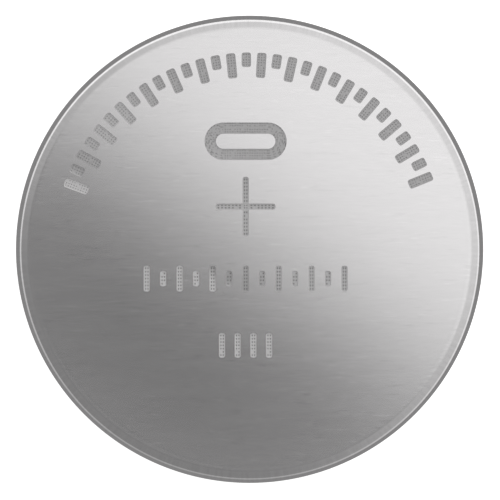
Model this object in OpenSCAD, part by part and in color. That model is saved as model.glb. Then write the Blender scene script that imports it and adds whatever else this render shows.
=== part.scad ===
// A lithium coin cell, lying flat on its negative contact with the positive face up.
// Millimetres, +Z up. The origin is the centre of the negative contact face, and +Y points
// to the top of the marks. The can, the cap and the gasket are all revolved sections. Each
// section is the space between an outline and the same outline set in by the sheet's thickness,
// so the pieces nest along shared curves.

/* [Cell] */
// Diameter over the can
cell_d = 20; // [18:0.5:30]
// Height from the negative contact to the positive face
cell_h = 1.6; // [1.4:0.1:3.2]

/* [Positive can] */
// Thickness of the can's steel
can_t = 0.2; // [0.15:0.01:0.25]
// Outer radius of the corner round the positive face
can_corner_r = 0.6; // [0.4:0.05:0.7]
// Outer radius of the rolled edge
crimp_r = 0.5; // [0.4:0.05:0.6]
// Straight length of the lip after the roll
lip_len = 0.45; // [0.3:0.05:0.6]
// Angle by which the lip dips into the cell
lip_tilt = 12; // [4:1:18]

/* [Negative cap] */
// Thickness of the cap's steel
cap_t = 0.2; // [0.15:0.01:0.25]
// How far the contact stands out below the rolled edge
contact_rise = 0.1; // [0.05:0.01:0.15]
// Outer radius of the cap's bends round the contact and at the foot of its skirt
cap_bend_r = 0.3; // [0.26:0.01:0.35]
// Inner radius of the tight bend where the contact's wall turns out to the ledge
cap_throat_r = 0.05; // [0.02:0.01:0.08]

/* [Sealing gasket] */
// Width of the ring that shows between the lip and the cap
gasket_ring_w = 0.3; // [0.2:0.05:0.5]
// Thickness between the can's wall and the cap's skirt
gasket_wall_t = 0.3; // [0.2:0.05:0.4]
// Thickness between the skirt's edge and the can's base
gasket_foot_t = 0.2; // [0.15:0.05:0.3]
// Thickness left where the lip squeezes it against the ledge
gasket_squeeze_t = 0.1; // [0.05:0.01:0.15]
// Thickness of the short wall inside the skirt
gasket_inner_t = 0.25; // [0.15:0.05:0.3]
// Gap between that short wall and the ledge below it
gasket_inner_gap = 0.15; // [0.1:0.05:0.2]

/* [Inner stack] */
// Thickness of the lithium disc
lithium_t = 0.25; // [0.15:0.05:0.35]
// How far the lithium disc stays inside the pellet's edge
lithium_inset = 0.25; // [0.1:0.05:1]
// Thickness of the separator
separator_t = 0.1; // [0.05:0.01:0.15]
// Height of the separator's turned-up rim
separator_rim_h = 0.5; // [0.3:0.05:0.6]
// Gap between the separator and the wall of the cap
separator_gap = 0.2; // [0.1:0.05:0.3]
// Gap between the pellet and the separator's rim
pellet_gap = 0.1; // [0.05:0.05:0.3]

/* [Collector grid] */
// Thickness of the grid
grid_t = 0.1; // [0.05:0.01:0.15]
// How far the grid stays inside the pellet's edge
grid_inset = 0.5; // [0.2:0.1:2]
// Long way of the mesh, from knuckle to knuckle
mesh_long = 2; // [1.5:0.1:3]
// Short way of the mesh
mesh_short = 1.2; // [1:0.1:2]
// Width of a strand
strand_w = 0.22; // [0.15:0.01:0.3]
// Least width of the plain border
grid_border = 0.3; // [0.2:0.1:1]

/* [Face marks] */
// Depth to which the marks are stamped
mark_depth = 0.03; // [0.01:0.01:0.06]
// Width of the strokes of the plus sign and of the rows
mark_w = 0.26; // [0.25:0.01:0.32]
// Radius of the corners of a stroke
mark_corner_r = 0.1; // [0.05:0.01:0.12]
// How far the marks sit to the side of the cell's centre
mark_x = -0.17; // [-0.3:0.01:0.3]
// Length of the plus sign's arms from end to end
plus_len = 2.55; // [2:0.05:3]
// Height of the plus sign's centre on the face
plus_y = 1.82; // [1.8:0.02:2.2]

/* [Arc of bars] */
// Gap between the arc and the edge of the flat face
arc_inset = 1; // [0.6:0.1:1.2]
// Length of a long bar
arc_long = 1.07; // [0.9:0.01:1.2]
// Length of a short bar
arc_short = 0.62; // [0.5:0.01:0.8]
// Width of a bar
arc_bar_w = 0.4; // [0.3:0.01:0.44]
// Angle of the first bar
arc_from = 22; // [15:1:40]
// Angle of the last bar
arc_to = 160; // [140:1:165]
// Number of bars
arc_bars = 31; // [15:2:37]

/* [Oval frame] */
// Width of the frame
frame_w = 3.5; // [3:0.1:4]
// Height of the frame
frame_h = 1.6; // [1.4:0.05:1.8]
// Width of its stroke
frame_stroke_w = 0.48; // [0.3:0.01:0.6]
// Gap between the frame and the arc of bars
frame_gap = 1.36; // [0.9:0.02:1.5]

/* [Rows of bars] */
// Width of the long row
row_w = 8.7; // [6:0.1:10]
// Height of its long bars
row_h = 1.1; // [0.8:0.05:1.3]
// Height of its short bars
row_short_h = 0.66; // [0.5:0.02:0.7]
// Height of its middle on the face
row_y = -1.25; // [-1.6:0.05:-1.2]
// Number of its bars
row_bars = 13; // [7:2:15]
// Width of the short row
foot_row_w = 2.27; // [1.8:0.01:3]
// Height of its bars
foot_row_h = 1.05; // [0.8:0.05:1.3]
// Height of its middle on the face
foot_row_y = -4.1; // [-4.6:0.1:-3.6]
// Number of its bars
foot_row_bars = 4; // [3:1:4]

/* [Hidden] */
$fn = 180;

// An overshoot for cutters, so that no cut ends on a face
over = 1;

can_r = cell_d / 2;
can_in_r = can_r - can_t;
can_base_z = cell_h - can_t;
corner_mid_r = can_r - can_corner_r;
corner_mid_z = cell_h - can_corner_r;
crimp_mid_r = can_r - crimp_r;
crimp_mid_z = contact_rise + crimp_r;

// The lip's outer corner and its inner top corner, after the dip
lip_end_r = crimp_mid_r - lip_len * cos(lip_tilt) - crimp_r * sin(lip_tilt);
lip_top_z = crimp_mid_z + lip_len * sin(lip_tilt) - (crimp_r - can_t) * cos(lip_tilt);

contact_wall_r = lip_end_r - gasket_ring_w;
ledge_z = lip_top_z + gasket_squeeze_t;
skirt_r = can_in_r - gasket_wall_t;
skirt_top_z = can_base_z - gasket_foot_t;
skirt_in_r = skirt_r - cap_t;

gasket_in_r = skirt_in_r - gasket_inner_t;
gasket_inner_z = ledge_z + cap_t + gasket_inner_gap;

separator_r = contact_wall_r - cap_t - separator_gap;
pellet_r = separator_r - separator_t - pellet_gap;
lithium_r = pellet_r - lithium_inset;
grid_r = pellet_r - grid_inset;
separator_z = cap_t + lithium_t;
pellet_z = separator_z + separator_t;
grid_z = can_base_z - grid_t;

arc_out_r = corner_mid_r - arc_inset;
frame_y = arc_out_r - arc_long - frame_gap - frame_h / 2;

// The can's filled outline in the plane of radius and height, set in all round by inset.
// The lip's strip reaches past its end by reach.
module can_outline(inset, reach) {
    translate([0, crimp_mid_z]) square([can_r - inset, corner_mid_z - crimp_mid_z]);
    translate([0, crimp_mid_z]) square([corner_mid_r, cell_h - inset - crimp_mid_z]);
    translate([corner_mid_r, corner_mid_z]) circle(can_corner_r - inset);
    translate([crimp_mid_r, crimp_mid_z]) circle(crimp_r - inset);
    translate([crimp_mid_r, crimp_mid_z]) rotate(-lip_tilt)
        translate([-lip_len - reach, inset - crimp_r]) square([lip_len + reach, crimp_r - inset]);
}

module can_section() {
    difference() {
        can_outline(0, 0);
        can_outline(can_t, over);
        translate([-over, contact_rise]) square([over, cell_h]);
    }
}

// The cap's filled outline in the same plane, set in by inset and open at the top
module cap_outline(inset, top_z) {
    contact_mid_r = contact_wall_r - cap_bend_r;
    skirt_mid_r = skirt_r - cap_bend_r;
    throat = cap_throat_r + inset;
    translate([0, inset]) square([contact_mid_r, top_z - inset]);
    translate([contact_mid_r, cap_bend_r]) circle(cap_bend_r - inset);
    translate([0, cap_bend_r]) square([contact_wall_r - inset, top_z - cap_bend_r]);
    translate([0, ledge_z + inset]) square([skirt_mid_r, top_z - ledge_z - inset]);
    translate([skirt_mid_r, ledge_z + cap_bend_r]) circle(cap_bend_r - inset);
    translate([0, ledge_z + cap_bend_r]) square([skirt_r - inset, top_z - ledge_z - cap_bend_r]);
    translate([contact_wall_r + cap_throat_r, ledge_z - cap_throat_r]) difference() {
        translate([-throat, 0]) square(throat);
        circle(throat);
    }
}

module cap_section() {
    difference() {
        cap_outline(0, skirt_top_z);
        cap_outline(cap_t, skirt_top_z + over);
    }
}

// The gasket fills what is left between the can and the cap, ends level with the lip, and
// turns round the skirt's edge to a short wall inside it
module gasket_section() {
    difference() {
        union() {
            intersection() {
                can_outline(can_t, over);
                translate([contact_wall_r - cap_t, 0]) square([can_r, cell_h]);
            }
            translate([crimp_mid_r, crimp_mid_z]) rotate(-lip_tilt)
                translate([-lip_len - gasket_ring_w - cap_t, -crimp_r])
                    square([gasket_ring_w + cap_t, crimp_r]);
        }
        cap_outline(0, skirt_top_z);
        translate([0, skirt_top_z]) square([gasket_in_r, gasket_foot_t]);
        can_section();
    }
    translate([gasket_in_r, gasket_inner_z])
        square([gasket_inner_t, skirt_top_z - gasket_inner_z]);
}

// A bar with rounded corners, upright and centred
module bar(width, len) {
    square([width, len - 2 * mark_corner_r], center = true);
    square([width - 2 * mark_corner_r, len], center = true);
    for (x = [-1, 1], y = [-1, 1])
        translate([x * (width / 2 - mark_corner_r), y * (len / 2 - mark_corner_r)])
            circle(mark_corner_r);
}

module plus_sign() {
    for (turn = [0, 90]) rotate(turn) bar(mark_w, plus_len);
}

// Radial bars, long and short by turns, with their outer ends on one circle
module arc_of_bars() {
    step = (arc_to - arc_from) / (arc_bars - 1);
    for (i = [0 : arc_bars - 1]) {
        len = i % 2 == 0 ? arc_long : arc_short;
        rotate(arc_from + i * step - 90) translate([0, arc_out_r - len / 2]) bar(arc_bar_w, len);
    }
}

// Upright bars, evenly spaced, whose heights take turns
module row_of_bars(width, heights, count) {
    pitch = (width - mark_w) / (count - 1);
    for (i = [0 : count - 1])
        translate([i * pitch - (width - mark_w) / 2, 0]) bar(mark_w, heights[i % len(heights)]);
}

module oval(width, height) {
    straight = width - height;
    square([straight, height], center = true);
    for (side = [-1, 1]) translate([side * straight / 2, 0]) circle(height / 2);
}

module oval_frame() {
    difference() {
        oval(frame_w, frame_h);
        oval(frame_w - 2 * frame_stroke_w, frame_h - 2 * frame_stroke_w);
    }
}

module face_marks() {
    arc_of_bars();
    translate([mark_x, frame_y]) oval_frame();
    translate([mark_x, plus_y]) plus_sign();
    translate([mark_x, row_y]) row_of_bars(row_w, [row_h, row_short_h], row_bars);
    translate([mark_x, foot_row_y]) row_of_bars(foot_row_w, [foot_row_h], foot_row_bars);
}

module positive_can() {
    color("#c6c5c1") difference() {
        rotate_extrude() can_section();
        translate([0, 0, cell_h - mark_depth]) linear_extrude(mark_depth + over) face_marks();
    }
}

module negative_cap() {
    color("#bdbcb8") rotate_extrude() cap_section();
}

module sealing_gasket() {
    color("#dfe0dc") rotate_extrude() gasket_section();
}

module cathode_pellet() {
    color("#2b2b2d") translate([0, 0, pellet_z]) cylinder(r = pellet_r, h = grid_z - pellet_z);
}

// One opening of the grid: a diamond whose sides stand back half a strand from the mesh lines
module diamond() {
    half_long = mesh_long / 2;
    half_short = mesh_short / 2;
    inner = 1 - strand_w / 2 * norm([half_long, half_short]) / (half_long * half_short);
    polygon([
        [half_long * inner, 0], [0, half_short * inner],
        [-half_long * inner, 0], [0, -half_short * inner]
    ]);
}

// Expanded metal: rows of whole diamonds, each row half a mesh along from the last
module cathode_collector() {
    most_r = grid_r - grid_border;
    columns = ceil(grid_r / mesh_long);
    rows = ceil(2 * grid_r / mesh_short);
    color("#9b9b9b") translate([0, 0, grid_z]) linear_extrude(grid_t) difference() {
        circle(grid_r);
        for (row = [-rows : rows], column = [-columns : columns]) {
            x = (column + (row % 2 == 0 ? 0 : 0.5)) * mesh_long;
            y = row * mesh_short / 2;
            if (norm([abs(x) + mesh_long / 2, y]) < most_r && norm([x, abs(y) + mesh_short / 2]) < most_r)
                translate([x, y]) diamond();
        }
    }
}

// A shallow cup, with its rim turned up round the pellet
module separator_outline(inset, top_z) {
    bend_r = 1.5 * separator_t;
    translate([0, separator_z + inset]) square([separator_r - bend_r, top_z - separator_z - inset]);
    translate([separator_r - bend_r, separator_z + bend_r]) circle(bend_r - inset);
    translate([0, separator_z + bend_r])
        square([separator_r - inset, top_z - separator_z - bend_r]);
}

module separator() {
    rim_z = separator_z + separator_rim_h;
    color("#f1f0ec") rotate_extrude() difference() {
        separator_outline(0, rim_z);
        separator_outline(separator_t, rim_z + over);
    }
}

module lithium_disc() {
    color("#a9a9ad") translate([0, 0, cap_t]) cylinder(r = lithium_r, h = lithium_t);
}

positive_can();
negative_cap();
sealing_gasket();
cathode_pellet();
cathode_collector();
separator();
lithium_disc();
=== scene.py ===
import math
import random

import bmesh
import bpy
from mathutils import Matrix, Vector


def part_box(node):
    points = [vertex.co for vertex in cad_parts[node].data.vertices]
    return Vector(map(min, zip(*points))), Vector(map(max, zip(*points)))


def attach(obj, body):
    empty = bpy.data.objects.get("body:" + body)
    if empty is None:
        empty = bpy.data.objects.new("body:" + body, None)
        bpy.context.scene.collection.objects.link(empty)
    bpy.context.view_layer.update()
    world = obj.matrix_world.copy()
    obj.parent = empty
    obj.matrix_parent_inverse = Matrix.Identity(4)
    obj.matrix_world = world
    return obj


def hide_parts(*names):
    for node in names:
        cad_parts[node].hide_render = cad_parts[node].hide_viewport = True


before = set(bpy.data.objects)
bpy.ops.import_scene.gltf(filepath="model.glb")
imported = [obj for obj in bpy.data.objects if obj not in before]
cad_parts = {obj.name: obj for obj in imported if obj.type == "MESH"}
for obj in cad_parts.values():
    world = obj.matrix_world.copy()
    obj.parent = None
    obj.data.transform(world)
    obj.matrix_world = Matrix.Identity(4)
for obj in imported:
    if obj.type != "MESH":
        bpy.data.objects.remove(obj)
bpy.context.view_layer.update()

MM = 0.001
TURN = 2 * math.pi

# The cell's outer sizes, from the frame
can_low, can_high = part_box("positive_can")
_, cap_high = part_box("negative_cap")
CAN_R = can_high[0]
FACE_Z = can_high[2]
CRIMP_Z = can_low[2]
SKIRT_R = cap_high[0]
SKIRT_TOP_Z = cap_high[2]

# Sheet thicknesses and bends
CAN_T = 0.2 * MM
CAN_CORNER_R = 0.6 * MM
CRIMP_R = 0.5 * MM
LIP_LENGTH = 0.45 * MM
LIP_TILT = math.radians(12)
CAP_T = 0.2 * MM
CAP_BEND_R = 0.3 * MM
CAP_THROAT_R = 0.05 * MM
SHEAR_EDGE = 0.03 * MM  # rounding left on a cut edge of sheet
SHEAR_ANGLE = math.radians(50)  # an edge that turns by more than this is a cut one

# The gasket
RING_W = 0.3 * MM
SQUEEZE_T = 0.1 * MM
INNER_T = 0.25 * MM
INNER_GAP = 0.15 * MM
RING_SWELL = 0.03 * MM  # how far the ring's face swells between the lip and the cap

# The marks on the positive face
MARK_DEPTH = 0.03 * MM
MARK_W = 0.26 * MM
MARK_CORNER_R = 0.1 * MM
MARK_X = -0.17 * MM
PLUS_LENGTH = 2.55 * MM
PLUS_Y = 1.82 * MM
ARC_INSET = 1 * MM
ARC_LONG = 1.07 * MM
ARC_SHORT = 0.62 * MM
ARC_BAR_W = 0.4 * MM
ARC_FROM, ARC_TO = math.radians(22), math.radians(160)
ARC_BARS = 31
OVAL_W = 3.5 * MM
OVAL_H = 1.6 * MM
OVAL_STROKE = 0.48 * MM
OVAL_GAP = 1.36 * MM
ROW_W = 8.7 * MM
ROW_LONG = 1.1 * MM
ROW_SHORT = 0.66 * MM
ROW_Y = -1.25 * MM
ROW_BARS = 13
FOOT_ROW_W = 2.27 * MM
FOOT_ROW_H = 1.05 * MM
FOOT_ROW_Y = -4.1 * MM
FOOT_ROW_BARS = 4

# The pits in the marks' floors, each in a cell of a grid
CELL = 0.057 * MM  # about the side of a cell
LONG_CELL = 0.072 * MM  # the same along the narrow marks, whose pits are deeper
PIT_DEPTH = 0.009 * MM
DEEP_PIT = 0.016 * MM
PIT_INSET = CELL / 8
PIT_SHARE = 0.85  # the share of the pits that is sunk
END_STEPS = 4  # cross rows in the last cell of a bar, drawn in to round its corners

# How finely the round shapes are divided
SORT_WAY = Vector((1, 0.7548, 0))  # askew, so that no two cells lie level along it
AROUND = 256  # steps in a full turn
BEND_STEPS = 14  # steps in a quarter turn of a bend
THROAT_STEPS = 6  # steps in the cap's tight bend
FACE_RIM = 0.1 * MM  # width of the ring of faces round the flat, whose middle is one face
WELD = 0.001 * MM


def lip_point(along, out):
    """A point by its distance from the crimp's middle along the lip and out from it."""
    r = CRIMP_MID[0] - along * math.cos(LIP_TILT) - out * math.sin(LIP_TILT)
    z = CRIMP_MID[1] + along * math.sin(LIP_TILT) - out * math.cos(LIP_TILT)
    return (r, z)


# Places in the plane of radius and height that follow from the sizes
CORNER_MID = (CAN_R - CAN_CORNER_R, FACE_Z - CAN_CORNER_R)
CRIMP_MID = (CAN_R - CRIMP_R, CRIMP_Z + CRIMP_R)
FLAT_R = CORNER_MID[0]
LIP_OUT = lip_point(LIP_LENGTH, CRIMP_R)
LIP_IN = lip_point(LIP_LENGTH, CRIMP_R - CAN_T)
CONTACT_WALL_R = LIP_OUT[0] - RING_W
LEDGE_Z = LIP_IN[1] + SQUEEZE_T
CONTACT_MID = (CONTACT_WALL_R - CAP_BEND_R, CAP_BEND_R)
THROAT_MID = (CONTACT_WALL_R + CAP_THROAT_R, LEDGE_Z - CAP_THROAT_R)
SKIRT_MID = (SKIRT_R - CAP_BEND_R, LEDGE_Z + CAP_BEND_R)
ARC_OUT_R = FLAT_R - ARC_INSET
OVAL_Y = ARC_OUT_R - ARC_LONG - OVAL_GAP - OVAL_H / 2


# Helpers for modelling
def select_only(piece):
    bpy.ops.object.select_all(action="DESELECT")
    piece.select_set(True)
    bpy.context.view_layer.objects.active = piece


def start_edit(piece):
    select_only(piece)
    bpy.ops.object.mode_set(mode="EDIT")


def end_edit():
    bpy.ops.object.mode_set(mode="OBJECT")
    return bpy.context.object


def pick(kind, accept):
    """Selects the verts, edges or faces of the mesh in edit mode whose middle is accepted."""
    bpy.ops.mesh.select_mode(type={"verts": "VERT", "edges": "EDGE", "faces": "FACE"}[kind])
    bpy.ops.mesh.select_all(action="DESELECT")
    mesh = bpy.context.object.data
    shape = bmesh.from_edit_mesh(mesh)
    for element in getattr(shape, kind):
        if kind == "verts":
            middle = element.co
        else:
            middle = sum((v.co for v in element.verts), Vector()) / len(element.verts)
        if accept(middle, element):
            element.select_set(True)
    shape.select_flush_mode()
    bmesh.update_edit_mesh(mesh)


def face_outwards():
    """Turns all the faces of the closed mesh in edit mode outwards."""
    bpy.ops.mesh.select_all(action="SELECT")
    bpy.ops.mesh.normals_make_consistent(inside=False)
    if bmesh.from_edit_mesh(bpy.context.object.data).calc_volume(signed=True) < 0:
        bpy.ops.mesh.flip_normals()


def apply(piece, kind, **settings):
    """Adds a modifier with these settings and applies it."""
    select_only(piece)
    modifier = piece.modifiers.new(kind.title(), kind)
    for name, value in settings.items():
        setattr(modifier, name, value)
    bpy.ops.object.modifier_apply(modifier=modifier.name)


def make_sheet(piece, thickness):
    """Gives a spun outline its thickness on the inside, and rounds the cut edges a little."""
    apply(piece, "SOLIDIFY", thickness=thickness, offset=-1, use_even_offset=True)
    apply(piece, "BEVEL", width=SHEAR_EDGE, segments=2, limit_method="ANGLE",
          angle_limit=SHEAR_ANGLE)


def smooth(piece):
    select_only(piece)
    bpy.ops.object.shade_smooth_by_angle(angle=math.radians(30))


def turned(point, middle, angle):
    """The point turned clockwise about a middle, in the plane of radius and height."""
    r, z = point[0] - middle[0], point[1] - middle[1]
    sine, cosine = math.sin(angle), math.cos(angle)
    return (middle[0] + r * cosine + z * sine, middle[1] - r * sine + z * cosine)


class Profile:
    """A section drawn in the plane of radius and height, and then spun round the cell's axis."""

    def __init__(self, name, r, z):
        bpy.ops.object.select_all(action="DESELECT")
        bpy.ops.mesh.primitive_plane_add(size=MM, enter_editmode=True)
        bpy.context.object.name = name
        bpy.ops.mesh.select_mode(type="VERT")
        bpy.ops.mesh.merge(type="CENTER")
        bpy.ops.transform.translate(value=(r, 0, z))
        self.at = (r, z)

    def line(self, r, z, steps=1):
        step = ((r - self.at[0]) / steps, 0, (z - self.at[1]) / steps)
        for _ in range(steps):
            bpy.ops.mesh.extrude_region_move(TRANSFORM_OT_translate={"value": step})
        self.at = (r, z)

    def bend(self, middle, angle, steps=None):
        """An arc about a middle, clockwise for a positive angle."""
        steps = steps or max(2, round(BEND_STEPS * abs(angle) / (TURN / 4)))
        axis = (0, -math.copysign(1, angle), 0)
        centre = (middle[0], 0, middle[1])
        bpy.ops.mesh.spin(steps=steps, angle=abs(angle), center=centre, axis=axis)
        self.at = turned(self.at, middle, angle)

    def spin(self):
        bpy.ops.mesh.select_all(action="SELECT")
        bpy.ops.mesh.spin(steps=AROUND, angle=TURN, center=(0, 0, 0), axis=(0, 0, 1))
        bpy.ops.mesh.select_all(action="SELECT")
        bpy.ops.mesh.remove_doubles(threshold=WELD)
        bpy.ops.mesh.normals_make_consistent(inside=False)
        return end_edit()


# The marks: closed cutters whose floors are grids with a pit in every other cell
def cells_in(length, cell=CELL):
    """An odd number of cells, so that the first and the last one have no pit."""
    return 2 * round((length / cell - 1) / 2) + 1


def add_grid(columns, rows, width, height, y=0.0):
    bpy.ops.object.select_all(action="DESELECT")
    bpy.ops.mesh.primitive_grid_add(
        x_subdivisions=columns, y_subdivisions=rows, size=1, enter_editmode=True,
        location=(0, y, 0))
    bpy.ops.mesh.select_all(action="SELECT")
    bpy.ops.transform.resize(value=(width, height, 1))


def sort_by_place():
    """Brings the mesh that is being edited into one order, as extruding leaves any order."""
    mesh = bpy.context.object.data
    shape = bmesh.from_edit_mesh(mesh)
    shape.verts.sort(key=lambda vertex: vertex.co.dot(SORT_WAY))
    shape.faces.sort(key=lambda face: face.calc_center_median().dot(SORT_WAY))
    shape.verts.index_update()
    shape.faces.index_update()
    bmesh.update_edit_mesh(mesh)


def sink_pits(is_pit, seed, depth=PIT_DEPTH):
    """Sinks most of the chosen cells of the sheet that is being edited, a little unevenly."""
    draw = random.Random(seed)
    sort_by_place()
    pick("faces", lambda at, face: is_pit(at) and draw.random() < PIT_SHARE)
    bpy.ops.mesh.inset(thickness=PIT_INSET, depth=-depth, use_individual=True)
    sort_by_place()
    bpy.ops.transform.vertex_random(offset=PIT_DEPTH / 2, seed=seed)


def raise_walls():
    """Makes the sheet that is being edited the floor of a closed cutter, deeper than the mark."""
    pick("edges", lambda at, edge: edge.is_boundary)
    bpy.ops.mesh.extrude_region_move(TRANSFORM_OT_translate={"value": (0, 0, 2 * MARK_DEPTH)})
    bpy.ops.mesh.edge_face_add()
    face_outwards()


def grow(way, steps):
    """Extrudes the picked edges of the sheet by one step after another."""
    for step in steps:
        bpy.ops.mesh.extrude_region_move(TRANSFORM_OT_translate={"value": way * step})


def round_the_end(way, half, step):
    """Draws the cross rows near one end of an arm in, to round its corners."""
    fine = [i * step / END_STEPS for i in range(END_STEPS)]
    coarse = [i * step for i in range(1, math.ceil(MARK_CORNER_R / step))]
    for back in fine + coarse:
        over = MARK_CORNER_R - back
        drop = MARK_CORNER_R - math.sqrt(MARK_CORNER_R**2 - over**2)
        narrow = 1 - drop / half[0]
        pick("verts", lambda at, vertex: abs(at.dot(way) - half[1] + back) < WELD)
        bpy.ops.transform.resize(value=(1 if way.x else narrow, narrow if way.x else 1, 1))


def bar_cutter(width, length, seed, cell=CELL, depth=PIT_DEPTH):
    """An upright bar with rounded corners, centred on the axis."""
    columns, rows = cells_in(width), cells_in(length, cell)
    step_x, step_y = width / columns, length / rows
    ends = (Vector((0, 1, 0)), Vector((0, -1, 0)))
    add_grid(columns, rows - 2, width, length - 2 * step_y)
    for way in ends:
        pick("edges", lambda at, edge: at.dot(way) > length / 2 - step_y - WELD)
        grow(way, [step_y / END_STEPS] * END_STEPS)

    def is_pit(at):
        return (at.x + width / 2) // step_x % 2 == 1 and (at.y + length / 2) // step_y % 2 == 1

    sink_pits(is_pit, seed, depth)
    for way in ends:
        round_the_end(way, (width / 2, length / 2), step_y)
    raise_walls()
    return end_edit()


def narrow_bar_cutter(length, seed):
    """A bar of the rows, with longer and deeper pits."""
    return bar_cutter(MARK_W, length, seed, LONG_CELL, DEEP_PIT)


def plus_cutter(seed):
    """Four arms grown out of a middle square, so that the cutter doesn't cross itself."""
    across = cells_in(MARK_W)
    half, arm = MARK_W / 2, (PLUS_LENGTH - MARK_W) / 2
    rows = cells_in(arm, LONG_CELL)
    step = arm / rows
    ways = [Vector(way) for way in ((1, 0, 0), (0, 1, 0), (-1, 0, 0), (0, -1, 0))]
    add_grid(across, across, MARK_W, MARK_W)
    for way in ways:
        def on_side(at, edge):
            return edge.is_boundary and at.dot(way) > half - WELD > at.cross(way).length

        pick("edges", on_side)
        grow(way, [step] * (rows - 1) + [step / END_STEPS] * END_STEPS)

    def is_odd(value):
        over = abs(value) - half
        return (over // step if over > 0 else (value + half) // (MARK_W / across)) % 2 == 1

    sink_pits(lambda at: is_odd(at.x) and is_odd(at.y), seed, DEEP_PIT)
    for way in ways:
        round_the_end(way, (half, half + arm), step)
    raise_walls()
    return end_edit()


def oval_cutter(seed):
    """A strip as wide as the stroke, led once round the oval."""
    across = cells_in(OVAL_STROKE)
    step = OVAL_STROKE / across
    inner_r = OVAL_H / 2 - OVAL_STROKE
    middle_r = OVAL_H / 2 - OVAL_STROKE / 2
    half_straight = (OVAL_W - OVAL_H) / 2
    along = 2 * round(half_straight / step)
    along_step = 2 * half_straight / along
    round_steps = 2 * round(math.pi * middle_r / step / 2)
    add_grid(along, across, 2 * half_straight, OVAL_STROKE, y=middle_r)
    pick("edges", lambda at, edge: edge.is_boundary and at.x > half_straight - WELD)
    bpy.ops.mesh.spin(
        steps=round_steps, angle=TURN / 2, center=(half_straight, 0, 0), axis=(0, 0, 1))
    grow(Vector((-1, 0, 0)), [along_step] * along)
    bpy.ops.mesh.spin(
        steps=round_steps, angle=TURN / 2, center=(-half_straight, 0, 0), axis=(0, 0, 1))
    bpy.ops.mesh.select_all(action="SELECT")
    bpy.ops.mesh.remove_doubles(threshold=WELD)

    def is_pit(at):
        past_end = max(0.0, abs(at.x) - half_straight)
        out = (math.hypot(past_end, at.y) - inner_r) / step
        if past_end:
            row = math.atan2(past_end, at.y) / (TURN / 2) * round_steps
        else:
            row = (at.x + half_straight) / along_step
        return out // 1 % 2 == 1 and row // 1 % 2 == 1

    sink_pits(is_pit, seed)
    raise_walls()
    return end_edit()


def placed(pattern, x, y, angle=0.0):
    """A copy of a cutter, turned about the cell's axis after it is moved up by y, then across."""
    select_only(pattern)
    bpy.ops.object.duplicate()
    copy = bpy.context.object
    copy.location = (x - y * math.sin(angle), y * math.cos(angle), FACE_Z - MARK_DEPTH)
    copy.rotation_euler = (0, 0, angle)
    return copy


def row_places(width, count):
    pitch = (width - MARK_W) / (count - 1)
    return [MARK_X + i * pitch - (width - MARK_W) / 2 for i in range(count)]


def face_cutters():
    """All the marks as one object of separate closed cutters."""
    arc_lengths = (ARC_LONG, ARC_SHORT)
    arc_bars = (bar_cutter(ARC_BAR_W, ARC_LONG, seed=3), bar_cutter(ARC_BAR_W, ARC_SHORT, seed=4))
    row_bars = (narrow_bar_cutter(ROW_LONG, seed=7), narrow_bar_cutter(ROW_SHORT, seed=8))
    foot_bar = narrow_bar_cutter(FOOT_ROW_H, seed=11)
    plus = plus_cutter(seed=13)
    oval = oval_cutter(seed=17)
    copies = [placed(plus, MARK_X, PLUS_Y), placed(oval, MARK_X, OVAL_Y)]
    for i in range(ARC_BARS):
        angle = ARC_FROM + i * (ARC_TO - ARC_FROM) / (ARC_BARS - 1) - TURN / 4
        copies.append(placed(arc_bars[i % 2], 0, ARC_OUT_R - arc_lengths[i % 2] / 2, angle))
    for i, x in enumerate(row_places(ROW_W, ROW_BARS)):
        copies.append(placed(row_bars[i % 2], x, ROW_Y))
    for x in row_places(FOOT_ROW_W, FOOT_ROW_BARS):
        copies.append(placed(foot_bar, x, FOOT_ROW_Y))
    bpy.ops.object.select_all(action="DESELECT")
    for pattern in (*arc_bars, *row_bars, foot_bar, plus, oval):
        pattern.select_set(True)
    bpy.ops.object.delete()
    for copy in copies:
        copy.select_set(True)
    bpy.context.view_layer.objects.active = copies[0]
    bpy.ops.object.join()
    bpy.ops.object.transform_apply(location=True, rotation=True, scale=True)
    return bpy.context.object


# The three pieces that show
def build_can():
    """Spun from the face's middle to the lip's end, then stamped with the marks."""
    outline = Profile("drawn_can", 0, FACE_Z)
    outline.line(FLAT_R - FACE_RIM, FACE_Z)
    outline.line(FLAT_R, FACE_Z)
    outline.bend(CORNER_MID, TURN / 4)
    outline.line(CAN_R, CRIMP_MID[1], steps=2)
    outline.bend(CRIMP_MID, TURN / 4)
    outline.bend(CRIMP_MID, LIP_TILT)
    lip = (-math.cos(LIP_TILT) * LIP_LENGTH, math.sin(LIP_TILT) * LIP_LENGTH)
    outline.line(outline.at[0] + lip[0], outline.at[1] + lip[1], steps=2)
    can = outline.spin()
    make_sheet(can, CAN_T)
    start_edit(can)
    flat = FLAT_R - FACE_RIM
    for level in (FACE_Z, FACE_Z - CAN_T):
        pick("faces", lambda at, face: abs(at.z - level) < WELD and at.xy.length < flat)
        bpy.ops.mesh.dissolve_faces()
    end_edit()
    cutters = face_cutters()
    apply(can, "BOOLEAN", operation="DIFFERENCE", object=cutters, solver="EXACT")
    bpy.data.objects.remove(cutters)
    smooth(can)
    return can


def build_cap():
    """Spun from the contact's middle over the ledge to the skirt's edge."""
    outline = Profile("pressed_cap", 0, 0)
    outline.line(CONTACT_MID[0], 0, steps=2)
    outline.bend(CONTACT_MID, -TURN / 4)
    outline.line(CONTACT_WALL_R, THROAT_MID[1])
    outline.bend(THROAT_MID, TURN / 4, THROAT_STEPS)
    outline.line(SKIRT_MID[0], LEDGE_Z, steps=2)
    outline.bend(SKIRT_MID, -TURN / 4)
    outline.line(SKIRT_R, SKIRT_TOP_Z, steps=2)
    cap = outline.spin()
    make_sheet(cap, CAP_T)
    smooth(cap)
    return cap


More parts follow.
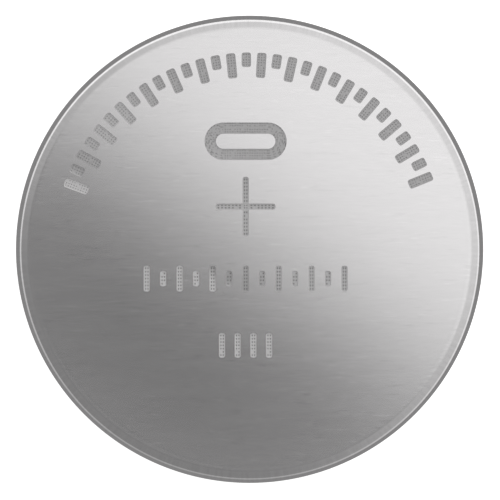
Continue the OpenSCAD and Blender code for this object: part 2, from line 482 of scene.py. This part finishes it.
def build_gasket():
    """A closed section, drawn clockwise from the lip's inner edge back along the can."""
    base_z = FACE_Z - CAN_T
    skirt_in_r = SKIRT_R - CAP_T
    inner_z = LEDGE_Z + CAP_T + INNER_GAP
    ring_z = LIP_OUT[1] + RING_W * math.tan(LIP_TILT)
    outline = Profile("sealing_ring", *LIP_IN)
    outline.line(*lip_point(0, CRIMP_R - CAN_T), steps=2)
    outline.bend(CRIMP_MID, -LIP_TILT)
    outline.bend(CRIMP_MID, -TURN / 4)
    outline.line(CAN_R - CAN_T, CORNER_MID[1], steps=2)
    outline.bend(CORNER_MID, -TURN / 4)
    outline.line(skirt_in_r - INNER_T, base_z, steps=2)
    outline.line(skirt_in_r - INNER_T, inner_z, steps=2)
    outline.line(skirt_in_r, inner_z)
    outline.line(skirt_in_r, SKIRT_TOP_Z, steps=2)
    outline.line(SKIRT_R, SKIRT_TOP_Z)
    outline.line(SKIRT_R, SKIRT_MID[1], steps=2)
    outline.bend(SKIRT_MID, TURN / 4)
    outline.line(THROAT_MID[0], LEDGE_Z, steps=2)
    outline.bend(THROAT_MID, -TURN / 4, THROAT_STEPS)
    outline.line(CONTACT_WALL_R, ring_z)
    for part in (1 / 6, 1 / 2, 5 / 6):
        swell = RING_SWELL * math.sin(math.pi * part)
        outline.line(
            CONTACT_WALL_R + part * RING_W,
            ring_z + part * (LIP_OUT[1] - ring_z) - swell)
    outline.line(*LIP_OUT)
    outline.line(*LIP_IN)
    gasket = outline.spin()
    smooth(gasket)
    return gasket


# The studio's light
STUDIO_WHITE = (1.0, 0.985, 0.99)
LIGHT_X, LIGHT_Y = 0.59, 0.807  # the way in which the softbox brightens


# Shader helpers
class Value:
    """A socket that adds Math nodes as it is reckoned with."""

    def __init__(self, shader, socket):
        self.shader = shader
        self.socket = socket

    def math(self, operation, *others):
        return self.shader.math(operation, self, *others)

    def __add__(self, other):
        return self.math("ADD", other)

    def __sub__(self, other):
        return self.math("SUBTRACT", other)

    def __mul__(self, other):
        return self.math("MULTIPLY", other)

    def __truediv__(self, other):
        return self.math("DIVIDE", other)

    def __rsub__(self, other):
        return self.shader.math("SUBTRACT", other, self)

    __radd__ = __add__
    __rmul__ = __mul__


class Shader:
    """The node tree of one material or of the world."""

    def __init__(self, owner):
        owner.use_nodes = True
        self.tree = owner.node_tree
        self.tree.nodes.clear()

    def node(self, kind, settings=None, sockets=None, output=0):
        """A node by its type, its settings and the values or links of its sockets."""
        node = self.tree.nodes.new(kind)
        for name, value in (settings or {}).items():
            setattr(node, name, value)
        for name, value in (sockets or {}).items():
            if isinstance(value, Value):
                self.tree.links.new(value.socket, node.inputs[name])
            else:
                node.inputs[name].default_value = value
        return Value(self, node.outputs[output]) if len(node.outputs) else None

    def math(self, operation, *values):
        return self.node("ShaderNodeMath", {"operation": operation}, dict(enumerate(values)))

    def split(self, vector):
        first = self.node("ShaderNodeSeparateXYZ", None, {0: vector})
        return [Value(self, part) for part in first.socket.node.outputs]

    def joined(self, x, y, z):
        return self.node("ShaderNodeCombineXYZ", None, {0: x, 1: y, 2: z})

    def scaled(self, vector, scale):
        sockets = {0: vector, "Scale": scale}
        return self.node("ShaderNodeVectorMath", {"operation": "SCALE"}, sockets)

    def place(self):
        """Object coordinates in millimetres, as a vector."""
        return self.scaled(self.node("ShaderNodeTexCoord", output=3), 1 / MM)

    def noise(self, vector, scale, detail=2.0, roughness=0.5):
        sockets = {"Vector": vector, "Scale": scale, "Detail": detail, "Roughness": roughness}
        return self.node("ShaderNodeTexNoise", None, sockets)

    def between(self, value, low, high, start=0.0, end=1.0):
        """Goes smoothly from start to end as the value goes from low to high."""
        settings = {"interpolation_type": "SMOOTHSTEP"}
        sockets = {0: value, 1: low, 2: high, 3: start, 4: end}
        return self.node("ShaderNodeMapRange", settings, sockets)

    def mix(self, factor, first, second):
        sockets = {0: factor, 6: first, 7: second}
        return self.node("ShaderNodeMix", {"data_type": "RGBA"}, sockets, output=2)

    def lit(self, level):
        """The studio's white, as bright as the level."""
        return self.scaled(STUDIO_WHITE, level)

    def bump(self, height, strength, distance):
        sockets = {"Height": height, "Strength": strength, "Distance": distance}
        return self.node("ShaderNodeBump", None, sockets)


def finish_material(name, principled):
    """A material whose Principled shader gets the sockets that principled(shader) returns."""
    material = bpy.data.materials.new(name)
    shader = Shader(material)
    surface = shader.node("ShaderNodeBsdfPrincipled", None, principled(shader))
    shader.node("ShaderNodeOutputMaterial", None, {"Surface": surface})
    return material


def tint(red, green, blue):
    return (red, green, blue, 1.0)


# The finishes, with their places in millimetres
def can_steel(shader):
    """Brushed along X on the face, and smooth round the corner and down the drawn wall.

    The flat of the face ends at a radius of 9.4. The brushing fades out raggedly just past it,
    and faint waves left by the press run round its edge.
    """
    x, y, z = shader.split(shader.place())
    radius = (x * x + y * y).math("SQRT")
    fine = shader.noise(shader.joined(x * 2.0, y * 12.0, z), 1.0, 2.0, 0.5)
    light = shader.noise(shader.joined(x * 1.4, y * 8.5, z + 5.0), 1.0)
    dark = shader.noise(shader.joined(x * 1.2, y * 7.0, z - 9.0), 1.0)
    strands = shader.between(light, 0.60, 0.76) - shader.between(dark, 0.60, 0.76)
    cloud = shader.noise(shader.joined(x * 0.3, y * 2.0, z), 1.0, 2.0)
    grain = fine * 0.4 + strands * 0.25 + cloud * 0.3 + 0.15
    ragged = radius + fine * 0.16 + light * 0.16
    face = shader.between(ragged, 9.55, 9.8, 1.0, 0.0)
    edge = shader.between(radius, 9.2, 9.42) * shader.between(radius, 9.5, 9.7, 1.0, 0.0)
    waves = shader.noise(shader.joined(x * 1.8, y * 7.0, z), 1.0)
    angle = y.math("ARCTAN2", x)
    drawn = shader.noise(shader.joined(angle * 60.0, z * 1.5, 0.0), 1.0, 2.0)
    streak = shader.mix(face, drawn, grain)
    return {
        "Base Color": shader.mix(streak, tint(0.73, 0.73, 0.73), tint(0.88, 0.88, 0.88)),
        "Metallic": 1.0,
        "Roughness": face * (grain * 0.05 + 0.185) + (1 - face) * (drawn * 0.05 + 0.07),
        "Normal": shader.bump(grain * face + waves * edge * 45.0, 0.2, 0.00025 * MM),
    }


def etched_steel(shader):
    """The floor of the marks: dull and darker in its pits, with painted light that makes it paler at
    the lower left and painted shade just past there and towards the upper right.
    """
    place = shader.place()
    x, y, z = shader.split(place)
    speckle = shader.noise(place, 14.0, 2.0, 0.7)
    floor_z = (FACE_Z - MARK_DEPTH) / MM
    pit = shader.between(floor_z - z, 0.0, DEEP_PIT / MM)
    # Painted light and shade: the marks' tone follows the way the softbox brightens. It is paler at
    # the lower left and darker just past there and towards the upper right.
    across = x * LIGHT_X + y * LIGHT_Y
    painted_light_lower_left = shader.between(across, -2.1, -1.5, 0.27, 0.0)
    painted_shade_dip = shader.between(across, -1.6, 0.4, 0.15, 0.0) + shader.between(across, 0.5, 4.2, 0.0, 0.11)
    # The tone carries this painted light and shade as well as the random speckle.
    tone = painted_light_lower_left - painted_shade_dip + speckle * 0.3 + 0.55
    return {
        "Base Color": shader.mix(tone * (1 - pit * 0.58), tint(0.0, 0.0, 0.0), tint(1.0, 1.0, 1.0)),
        "Roughness": speckle * 0.2 + 0.6,
        "Specular IOR Level": 0.2,
        "Normal": shader.bump(speckle, 0.5, 0.006 * MM),
    }


def cap_steel(shader):
    """Matt rolled sheet: a fine grain along X under a few fine scratches."""
    place = shader.place()
    x, y, z = shader.split(place)
    cloud = shader.noise(place, 0.4, 3.0)
    rolled = shader.noise(shader.joined(x * 0.9, y * 8.0, z * 8.0), 1.0, 3.0, 0.6)
    pebble = shader.noise(place, 18.0, 3.0, 0.65)
    scratch = shader.noise(shader.joined(x * 3.0 + y, y * 0.25 - x * 0.1, z), 3.0, 2.0, 0.7)
    line = shader.between(scratch, 0.66, 0.70)
    tone = cloud * 0.4 + rolled * 0.6 + line * 0.25
    return {
        "Base Color": shader.mix(tone, tint(0.58, 0.575, 0.56), tint(0.92, 0.91, 0.89)),
        "Metallic": 1.0,
        "Roughness": pebble * 0.12 + rolled * 0.12 + 0.2 - line * 0.05,
        "Normal": shader.bump(pebble + rolled - line * 0.3, 0.4, 0.003 * MM),
    }


def gasket_plastic(shader):
    """Milky and a little cloudy, with a fine moulded grain."""
    place = shader.place()
    cloud = shader.noise(place, 1.4, 2.0)
    grain = shader.noise(place, 22.0, 2.0)
    return {
        "Base Color": shader.mix(cloud, tint(0.40, 0.41, 0.39), tint(0.52, 0.525, 0.50)),
        "Roughness": grain * 0.15 + 0.38,
        "Normal": shader.bump(grain, 0.2, 0.004 * MM),
    }


def pellet_black(shader):
    """Pressed powder: black, matt and fine."""
    powder = shader.noise(shader.place(), 16.0, 4.0, 0.7)
    return {
        "Base Color": shader.mix(powder, tint(0.012, 0.012, 0.013), tint(0.05, 0.05, 0.053)),
        "Roughness": powder * 0.2 + 0.7,
        "Normal": shader.bump(powder, 0.6, 0.01 * MM),
    }


def grid_steel(shader):
    """Plain expanded sheet, with a faint mottle."""
    mottle = shader.noise(shader.place(), 9.0, 3.0)
    return {
        "Base Color": shader.mix(mottle, tint(0.50, 0.50, 0.51), tint(0.66, 0.66, 0.67)),
        "Metallic": 1.0,
        "Roughness": mottle * 0.15 + 0.3,
        "Normal": shader.bump(mottle, 0.3, 0.004 * MM),
    }


def separator_white(shader):
    """Nonwoven plastic: fibres that lie both ways."""
    x, y, z = shader.split(shader.place())
    one_way = shader.noise(shader.joined(x * 3.0, y * 22.0, z), 1.0, 3.0, 0.7)
    other_way = shader.noise(shader.joined(x * 22.0, y * 3.0, z), 1.0, 3.0, 0.7)
    fibres = one_way.math("MAXIMUM", other_way)
    return {
        "Base Color": shader.mix(fibres, tint(0.78, 0.78, 0.75), tint(0.93, 0.93, 0.91)),
        "Roughness": 0.85,
        "Normal": shader.bump(fibres, 0.7, 0.012 * MM),
    }


def lithium_metal(shader):
    """Soft dull metal with a grey bloom."""
    place = shader.place()
    bloom = shader.noise(place, 1.1, 4.0, 0.6)
    skin = shader.noise(place, 12.0, 2.0)
    return {
        "Base Color": shader.mix(bloom, tint(0.46, 0.46, 0.49), tint(0.68, 0.68, 0.70)),
        "Metallic": 1.0,
        "Roughness": bloom * 0.25 + 0.35,
        "Normal": shader.bump(skin, 0.4, 0.006 * MM),
    }


# Camera: the disc's place and radius in the photograph's frame, in pixels
FRAME_PX = 500
DISC_R_PX = 233.8
DISC_X_PX, DISC_Y_PX = 249.6, 249.3
CAMERA_HEIGHT = 300 * MM
SENSOR = 36.0


def aim_camera():
    """Straight down, with the can's wall as far from the frame's edges as in the photograph."""
    px = CAN_R / DISC_R_PX
    half_view = FRAME_PX / 2 * px
    to_rim = CAMERA_HEIGHT - CORNER_MID[1]
    data = bpy.data.cameras.new("above")
    data.sensor_width = SENSOR
    data.lens = SENSOR / 2 * to_rim / half_view
    data.clip_start = 1 * MM
    camera = bpy.data.objects.new("above", data)
    camera.location = (
        (FRAME_PX / 2 - DISC_X_PX) * px, (DISC_Y_PX - FRAME_PX / 2) * px, CAMERA_HEIGHT)
    bpy.context.collection.objects.link(camera)
    bpy.context.scene.camera = camera


# Floor and lights
FLOOR_R = 1.5
FLOOR_GAP = 0.005 * MM  # keeps the floor from flickering through the cap's flat
SOFTBOX_HEIGHT = 40 * MM
SOFTBOX_R = 85 * MM


def add_disc(name, radius, z):
    """A level disc round the cell's axis."""
    bpy.ops.object.select_all(action="DESELECT")
    bpy.ops.mesh.primitive_circle_add(
        vertices=96, radius=radius, fill_type="NGON", enter_editmode=True, location=(0, 0, 0))
    bpy.ops.transform.translate(value=(0, 0, z))
    disc = end_edit()
    disc.name = name
    return disc


def build_floor():
    """White, and clear when it is seen from below, so that the underside shows."""
    floor = add_disc("floor", FLOOR_R, -FLOOR_GAP)
    material = bpy.data.materials.new("pale_floor")
    shader = Shader(material)
    surface = shader.node("ShaderNodeBsdfPrincipled", None, {
        "Base Color": tint(0.9, 0.9, 0.9), "Roughness": 0.9, "Specular IOR Level": 0.1,
        "Emission Color": tint(1.0, 1.0, 1.0), "Emission Strength": 0.9,
    })
    clear = shader.node("ShaderNodeBsdfTransparent")
    underside = shader.node("ShaderNodeNewGeometry", output=6)
    one_sided = shader.node("ShaderNodeMixShader", None, {0: underside, 1: surface, 2: clear})
    shader.node("ShaderNodeOutputMaterial", None, {"Surface": one_sided})
    floor.data.materials.append(material)
    floor.visible_glossy = False


def softbox_glow(shader):
    """Brightens to the upper right near the middle, and keeps to each side's own tone far out.

    Each point of it shows in the face at 0.89 times its distance from the axis. What shows at
    the edge of the face is lifted a little along the dark half and at the right, and it is
    dimmer far out above the upper left.
    """
    x, y, _ = shader.split(shader.place())
    across = x * LIGHT_X + y * LIGHT_Y
    away = (x * x + y * y).math("SQRT")
    over_edge = shader.between(away, 8.6, 10.8) * shader.between(away, 13.0, 23.0, 1.0, 0.0)
    dark_half = shader.between(y, -8.5, -3.5, 0.095, 0.05) * shader.between(across, 0.0, 5.0, 1.0, 0.0)
    dark_end = shader.between(across, -10.2, -7.5, 0.03, 0.0)
    right = shader.between(x * 0.95 + y * 0.31, 8.7, 10.2, 0.0, 0.05)
    lift = over_edge * (dark_half + dark_end + right)
    middle = shader.between(across, -4.3, 5.6, 0.148, 0.99) + lift
    side = shader.between(across / (away + 1.0), -0.9, 0.9, 0.25, 0.8)
    far = shader.between(away, 8.5, 29.0)
    upper_left = shader.between((y * 0.93 - x * 0.37) / (away + 1.0), 0.75, 0.95)
    dim = upper_left * shader.between(away, 9.0, 14.0, 0.0, 0.08)
    return middle * (1 - far) + side * far - dim


def hang_softbox():
    """A round softbox over the cell."""
    softbox = add_disc("softbox", SOFTBOX_R, SOFTBOX_HEIGHT)
    material = bpy.data.materials.new("softbox_cloth")
    shader = Shader(material)
    colour = shader.lit(softbox_glow(shader))
    light = shader.node("ShaderNodeEmission", None, {"Color": colour, "Strength": 1.0})
    shader.node("ShaderNodeOutputMaterial", None, {"Surface": light})
    softbox.data.materials.append(material)
    softbox.visible_camera = False
    softbox.visible_shadow = False


def light_world():
    """A bright strip round the horizon, dimmer towards the lower left, over a dim ground.

    The ground is bright again straight below, where the contact face is looked at.
    """
    world = bpy.data.worlds.new("studio")
    bpy.context.scene.world = world
    shader = Shader(world)
    x, y, z = shader.split(shader.node("ShaderNodeTexCoord", output=0))
    side = shader.between(x * LIGHT_X + y * LIGHT_Y, -0.9, 0.9, 0.25, 0.8)
    strip = shader.between(x * 0.35 + y * 0.94, -1.35, 0.75, 0.37, 1.13)
    over_ground = shader.between(z - shader.between(y, -0.8, 0.3, -0.09, 0.05), -0.03, 0.03)
    over_strip = shader.between(z - y * 0.12, 0.25, 0.31)
    above = side * over_strip + strip * (1 - over_strip)
    ground = shader.between(z, -1.0, -0.9, 0.8, 0.275)
    level = above * over_ground + ground * (1 - over_ground)
    shade = shader.node("ShaderNodeBackground", None, {"Color": shader.lit(level), "Strength": 1.0})
    shader.node("ShaderNodeOutputWorld", None, {"Surface": shade})


# Putting the cell together
def dress(piece, node, slot, *materials):
    """Gives a piece its finishes and lets it stand for a CAD node."""
    piece.data.materials.clear()
    for material in materials:
        piece.data.materials.append(material)
    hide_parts(node)
    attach(piece, "root")


def etch(can):
    """Gives the marks' floors and walls their own finish."""
    top, bottom = FACE_Z - WELD / 4, FACE_Z - MARK_DEPTH - 2 * DEEP_PIT
    for face in can.data.polygons:
        middle = face.center
        inside = bottom < middle.z < top and middle.xy.length < FLAT_R - 2 * FACE_RIM
        face.material_index = 1 if inside else 0


aim_camera()
build_floor()
hang_softbox()
light_world()
bpy.context.scene.view_settings.view_transform = "Standard"

can = build_can()
dress(can, "positive_can", "can_steel",
      finish_material("brushed_can", can_steel), finish_material("etched_marks", etched_steel))
etch(can)
dress(build_cap(), "negative_cap", "cap_steel", finish_material("rolled_cap", cap_steel))
dress(build_gasket(), "sealing_gasket", "gasket_plastic",
      finish_material("milky_gasket", gasket_plastic))

INNER_FINISHES = {
    "cathode_pellet": pellet_black,
    "cathode_collector": grid_steel,
    "separator": separator_white,
    "lithium_disc": lithium_metal,
}
for node_name, finish in INNER_FINISHES.items():
    node_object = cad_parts[node_name]
    node_object.material_slots[0].material = finish_material(node_name, finish)
